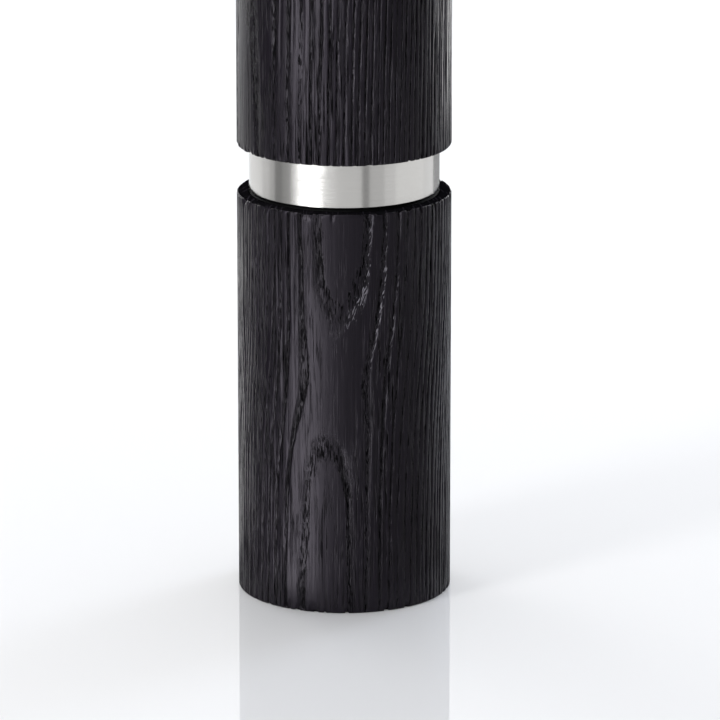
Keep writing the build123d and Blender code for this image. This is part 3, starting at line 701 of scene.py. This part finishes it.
# Inner pieces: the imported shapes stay, each with its own finish
finishes = {
    "mouldedNylon": {  # glass-filled, from a spark-eroded mould: black, dull, evenly pebbled
        "tones": ("#151517", "#1d1d20"),
        "rough": (0.42, 0.66),
        "grain": (0.5, 0.5),  # mm across and along Z
        "relief": 0.03,  # mm
        "sockets": {"IOR": 1.53},
        "pieces": [
            "grinder_housing",
            "stator_retainer",
            "rotor_carrier",
            "adjuster_knob",
            "head_insert",
        ],
    },
    "mouldedAcetal": {  # natural colour: milky white and slippery
        "tones": ("#e0ddd3", "#ebe9e2"),
        "rough": (0.28, 0.42),
        "grain": (0.8, 0.8),
        "relief": 0.01,
        "sockets": {"IOR": 1.48},
        "pieces": ["slip_sleeve", "shaft_bush"],
    },
    "sinteredAlumina": {  # chalky off-white with a fine sandy grain
        "tones": ("#ded7c9", "#efeae0"),
        "rough": (0.45, 0.7),
        "grain": (0.35, 0.35),
        "relief": 0.025,
        "sockets": {"IOR": 1.76},
        "pieces": ["stator_burr", "rotor_burr"],
    },
    "mouldedSilicone": {  # pale grey and soft, with a dusty sheen
        "tones": ("#b3b6b8", "#c3c5c6"),
        "rough": (0.5, 0.7),
        "grain": (0.6, 0.6),
        "relief": 0.02,
        "sockets": {"IOR": 1.41},
        "pieces": ["hopper_seal"],
    },
    "nitrileRubber": {  # flat black
        "tones": ("#101011", "#1a1a1b"),
        "rough": (0.6, 0.85),
        "grain": (0.4, 0.4),
        "relief": 0.02,
        "sockets": {"IOR": 1.52},
        "pieces": ["grip_ring"],
    },
    "drawnAluminium": {  # bar left dull: grey, with long faint lines from the die
        "tones": ("#8b8e92", "#9da0a3"),
        "rough": (0.42, 0.58),
        "grain": (0.25, 30.0),
        "relief": 0.006,
        "sockets": {"Metallic": 1.0},
        "pieces": ["drive_shaft"],
    },
    "zincPlatedSteel": {  # bright zinc: cool grey, a little uneven
        "tones": ("#a9b0b8", "#c4c9ce"),
        "rough": (0.2, 0.38),
        "grain": (0.5, 0.5),
        "relief": 0.006,
        "sockets": {"Metallic": 1.0},
        "pieces": ["flange_screws", "plate_screws", "thrust_washer", "spring_washer"],
    },
    "turnedBrass": {  # yellow, with fine lines round the turn
        "tones": ("#b98f3f", "#d3b05c"),
        "rough": (0.22, 0.4),
        "grain": (4.0, 0.2),
        "relief": 0.008,
        "sockets": {"Metallic": 1.0},
        "pieces": ["adjuster_nut", "drive_socket"],
    },
    "clearAcrylic": {  # cast tube: clear and glossy, barely rippled
        "tones": ("#eef2f2", "#f6f8f8"),
        "rough": (0.03, 0.09),
        "grain": (9.0, 9.0),
        "relief": 0.01,
        "sockets": {"IOR": 1.49, "Transmission Weight": 1.0},
        "pieces": ["hopper_liner"],
    },
}
toneDrift = {"size": 6.0, "share": (0.3, 0.7)}  # mm, and the part of its pattern from tone to tone


def grainedFinish(name, look):
    # a colour that drifts between two tones, with a grain in its gloss and its relief
    material, tree, shader = newMaterial(name, **look["sockets"])
    grain = grainPattern(tree, *look["grain"], detail=3.0, roughness=0.6)
    drift = grainPattern(tree, toneDrift["size"], toneDrift["size"])
    stops = [(share, hexColour(code)) for share, code in zip(toneDrift["share"], look["tones"])]
    tone = addNode(tree, "ShaderNodeValToRGB", {"Fac": drift}, stops=stops)
    tree.links.new(tone.outputs["Color"], shader.inputs["Base Color"])
    rough = addNode(tree, "ShaderNodeMapRange", toSpan(grain, *look["rough"])).outputs[0]
    tree.links.new(rough, shader.inputs["Roughness"])
    relief = {"Height": grain, "Strength": 1.0, "Distance": look["relief"] * mm}
    bump = addNode(tree, "ShaderNodeBump", relief)
    tree.links.new(bump.outputs["Normal"], shader.inputs["Normal"])
    return material


for name, finish in finishes.items():
    finish["material"] = grainedFinish(name, finish)
    for piece in finish["pieces"]:
        nodes[piece].data.materials.clear()
        nodes[piece].data.materials.append(finish["material"])
print("inner pieces finished:", sum(len(finish["pieces"]) for finish in finishes.values()))

# Grinder spring: a coil of wire wound from the imported spring's foot to its top
spring = {"wire": 0.8, "turns": 4, "sides": 12, "stepsPerTurn": 40}  # wire in mm
springRadius, springFoot, springTop = nodeSpan("grinder_spring")
wireRadius = spring["wire"] / 2
coilSteps = spring["turns"] * spring["stepsPerTurn"]
coilRise = (springTop - springFoot - spring["wire"]) / coilSteps
springPiece = newPiece("grinderSpring", "grinder_spring")
bm = bmesh.new()
bmesh.ops.create_circle(bm, segments=spring["sides"], radius=wireRadius * mm)
bmesh.ops.rotate(bm, verts=bm.verts, matrix=Matrix.Rotation(math.pi / 2, 3, "X"))
coilStart = Vector((springRadius - wireRadius, 0, springFoot + wireRadius)) * mm
bmesh.ops.translate(bm, verts=bm.verts, vec=coilStart)
bmesh.ops.spin(
    bm,
    geom=bm.verts[:] + bm.edges[:],
    cent=(0, 0, 0),
    axis=(0, 0, 1),
    dvec=(0, 0, coilRise * mm),
    angle=spring["turns"] * 2 * math.pi,
    steps=coilSteps,
)
bmesh.ops.holes_fill(bm, edges=[edge for edge in bm.edges if edge.is_boundary])
bmesh.ops.recalc_face_normals(bm, faces=bm.faces)
for face in bm.faces:
    face.smooth = len(face.verts) == 4  # the cut ends stay flat
finishMesh(springPiece, bm, finishes["zincPlatedSteel"]["material"])
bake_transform(springPiece)
print("spring wound:", len(springPiece.data.polygons), "faces")

# Table, light and camera
board = {
    "half": 6.0,  # m from the middle to an edge
    "clear": 0.05,  # mm under the foot
    "lift": 0.1,  # glow that only the camera sees
    "sockets": {
        "Base Color": hexColour("#f2f2f2"),
        "Roughness": 0.0,
        "Specular IOR Level": 0.8,
        "Emission Color": (1, 1, 1, 1),
    },
}
table = bpy.data.objects.new("table", bpy.data.meshes.new("table"))
table.location.z = -board["clear"] * mm
bpy.context.collection.objects.link(table)
table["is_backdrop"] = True
# white lacquered board: mirrors what stands on it
lacquered, tree, shader = newMaterial("lacqueredBoard", **board["sockets"])
seen = addNode(tree, "ShaderNodeLightPath").outputs["Is Camera Ray"]
lift = addNode(tree, "ShaderNodeMath", {0: seen, 1: board["lift"]}, operation="MULTIPLY").outputs[0]
tree.links.new(lift, shader.inputs["Emission Strength"])  # up to the white of the backdrop
bm = bmesh.new()
bmesh.ops.create_grid(bm, x_segments=1, y_segments=1, size=board["half"])
finishMesh(table, bm, lacquered)

studioLight = {"ambient": "#d9dbe0", "level": 0.66}
world = bpy.data.worlds.new("studio")
bpy.context.scene.world = world
world.use_nodes = True
tree = world.node_tree
tree.nodes.clear()
path = addNode(tree, "ShaderNodeLightPath")
seen = path.outputs["Is Camera Ray"]  # the white backdrop, and what metal and plastic mirror of it
for ray in ("Is Glossy Ray", "Is Transmission Ray"):
    either = {0: seen, 1: path.outputs[ray]}
    seen = addNode(tree, "ShaderNodeMath", either, operation="MAXIMUM").outputs[0]
glow = {"Color": hexColour(studioLight["ambient"]), "Strength": studioLight["level"]}
ambient = addNode(tree, "ShaderNodeBackground", glow)
backdrop = addNode(tree, "ShaderNodeBackground", {"Color": (1, 1, 1, 1), "Strength": 1.0})
studio = addNode(tree, "ShaderNodeMixShader", {0: seen, 1: ambient.outputs[0], 2: backdrop.outputs[0]})
addNode(tree, "ShaderNodeOutputWorld", {"Surface": studio.outputs[0]})

# Bent cards round the mill that only gloss sees, and only from inside: they lay the bright and
# dark bands on the oak and the steel. Each row is what the body, the collar or the head mirrors.
cards = {
    "radius": 160,  # mm
    "floorEdge": 45,  # mm, how near the lowest row comes to the mill along the floor
    "steps": 16,
    "rows": {  # heights in mm, then turns in degrees from the camera's side, and level: 1 is white
        "body": (
            0.3,
            70,
            [
                (-172, -122, 1.9),
                (-110, -54, 0.03),
                (-54, -25, 6.6),
                (-25, -8, 1.1),
                (-8, 20, 0.5),
                (20, 108, 0.42),
            ],
        ),
        "collar": (
            70,
            102,
            [
                (-150, -110, 0.86),
                (-110, -95, 0.72),
                (-95, -86, 0.56),
                (-86, -74, 0.27),
                (-74, -62, 0.36),
                (-62, -58, 0.7),
                (-58, -36, 0.9),
                (-36, -28, 0.95),
                (-28, 20, 0.7),
                (20, 28, 0.28),
                (28, 46, 0.6),
                (46, 60, 0.76),
                (60, 104, 0.9),
                (104, 128, 0.8),
                (128, 172, 0.3),
            ],
        ),
        "head": (
            102,
            600,
            [(-118, -53, 0.0), (-53, -22, 7.2), (-22, -10, 1.1), (-10, 100, 0.38), (118, 172, 3.2)],
        ),
    },
}


def addGlossCard(name, bm, level, colour="#ffffff"):
    # glows towards the mill for its gloss alone: its back is clear, and the table doesn't mirror it
    card = bpy.data.objects.new(name, bpy.data.meshes.new(name))
    bpy.context.collection.objects.link(card)
    card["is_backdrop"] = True
    card.visible_camera = card.visible_diffuse = card.visible_shadow = False
    paper = bpy.data.materials.new(name)
    paper.use_nodes = True
    tree = paper.node_tree
    tree.nodes.clear()
    side = addNode(tree, "ShaderNodeNewGeometry").outputs["Backfacing"]
    mirrored = addNode(tree, "ShaderNodeLightPath").outputs["Is Singular Ray"]
    hidden = addNode(tree, "ShaderNodeMath", {0: side, 1: mirrored}, operation="MAXIMUM").outputs[0]
    glow = {"Color": hexColour(colour), "Strength": level}
    front = addNode(tree, "ShaderNodeEmission", glow).outputs[0]
    clear = addNode(tree, "ShaderNodeBsdfTransparent").outputs[0]
    sides = addNode(tree, "ShaderNodeMixShader", {0: hidden, 1: front, 2: clear})
    addNode(tree, "ShaderNodeOutputMaterial", {"Surface": sides.outputs[0]})
    finishMesh(card, bm, paper)


def addBentCard(name, profile, fromTurn, toTurn, level):
    bm = bmesh.new()
    corners = [bm.verts.new((0, -r * mm, z * mm)) for r, z in profile]
    for pair in zip(corners, corners[1:]):
        bm.edges.new(pair)
    bmesh.ops.rotate(bm, verts=bm.verts, matrix=Matrix.Rotation(math.radians(fromTurn), 3, "Z"))
    turned = math.radians(toTurn - fromTurn)
    outline = bm.verts[:] + bm.edges[:]
    bmesh.ops.spin(bm, geom=outline, cent=(0, 0, 0), axis=(0, 0, 1), angle=turned, steps=cards["steps"])
    bm.normal_update()
    upright = min(bm.faces, key=lambda face: abs(face.normal.z))
    if upright.normal.dot(upright.calc_center_median()) > 0:  # turned to face the mill
        bmesh.ops.reverse_faces(bm, faces=bm.faces)
    addGlossCard(name, bm, level)


for row, (low, high, faces) in cards["rows"].items():
    profile = [(cards["radius"], low), (cards["radius"], high)]
    if row == "body":
        profile.insert(0, (cards["floorEdge"], low))
    for i, (fromTurn, toTurn, level) in enumerate(faces):
        addBentCard(f"{row}Card{i}", profile, fromTurn, toTurn, level)

# Soft lights that face the mill, in metres: azimuth 0 is the camera's side and right is positive,
# place is distance and height, size is width and height, glow and gloss are 1 for white
panels = {
    "windowLeft": {
        "azimuth": -47.5,
        "place": (1.1, 0.42),
        "size": (0.27, 0.84),
        "glow": 9.0,
        "gloss": 9.0,
        "aimHeight": 0.42,
        "colour": "#ffffff",
    },
    "panelRight": {
        "azimuth": 136,
        "place": (1.2, 0.45),
        "size": (0.4, 0.9),
        "glow": 6.0,
        "gloss": 14.0,
        "aimHeight": 0.45,
        "colour": "#e0e9fa",
    },
    "panelLeftBack": {
        "azimuth": -142,
        "place": (1.2, 0.45),
        "size": (0.5, 0.9),
        "glow": 2.4,
        "gloss": 5.0,
        "aimHeight": 0.45,
        "colour": "#ffffff",
    },
    "overhead": {
        "azimuth": 178,
        "place": (0.7, 1.5),
        "size": (2.2, 1.4),
        "glow": 1.0,
        "gloss": 1.0,
        "aimHeight": 0.1,
        "colour": "#ffffff",
    },
}


def addPanel(name, panel):
    turn = math.radians(panel["azimuth"])
    distance, height = panel["place"]
    width, tall = panel["size"]
    lamp = bpy.data.lights.new(name, "AREA")
    lamp.shape = "RECTANGLE"
    lamp.size, lamp.size_y = width, tall
    lamp.energy = math.pi * panel["glow"] * width * tall
    lamp.color = hexColour(panel["colour"])[:3]
    stand = bpy.data.objects.new(name, lamp)
    stand.location = (distance * math.sin(turn), -distance * math.cos(turn), height)
    aim = Vector((0, 0, panel["aimHeight"])) - stand.location
    stand.rotation_euler = aim.to_track_quat("-Z", "Y").to_euler()
    stand.visible_glossy = False  # its gloss comes from a card of the same size
    bpy.context.collection.objects.link(stand)
    bm = bmesh.new()
    bmesh.ops.create_grid(bm, x_segments=1, y_segments=1, size=0.5)  # a metre square at first
    bmesh.ops.scale(bm, verts=bm.verts, vec=(width, tall, 1))
    bmesh.ops.reverse_faces(bm, faces=bm.faces)  # a lamp shines down its own Z
    bmesh.ops.transform(bm, verts=bm.verts, matrix=stand.matrix_basis)
    addGlossCard(f"{name}Card", bm, panel["gloss"], panel["colour"])


for name, panel in panels.items():
    addPanel(name, panel)

view = {
    "distance": 1.6,  # m
    "elevation": 15.13,  # degrees
    "lens": 293.8,  # mm, and its sensor's width
    "sensor": 36,
    "aim": (4.27, 0, 63.24),  # mm
}
cameraData = bpy.data.cameras.new("camera")
cameraData.lens = view["lens"]
cameraData.sensor_width = view["sensor"]
camera = bpy.data.objects.new("camera", cameraData)
tilt = math.radians(view["elevation"])
aim = Vector(view["aim"]) * mm
camera.location = aim + Vector((0, -math.cos(tilt), math.sin(tilt))) * view["distance"]
camera.rotation_euler = (math.pi / 2 - tilt, 0, 0)
bpy.context.collection.objects.link(camera)
bpy.context.scene.camera = camera
bpy.context.scene.view_settings.view_transform = "Standard"
print("stage set")

low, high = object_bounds()
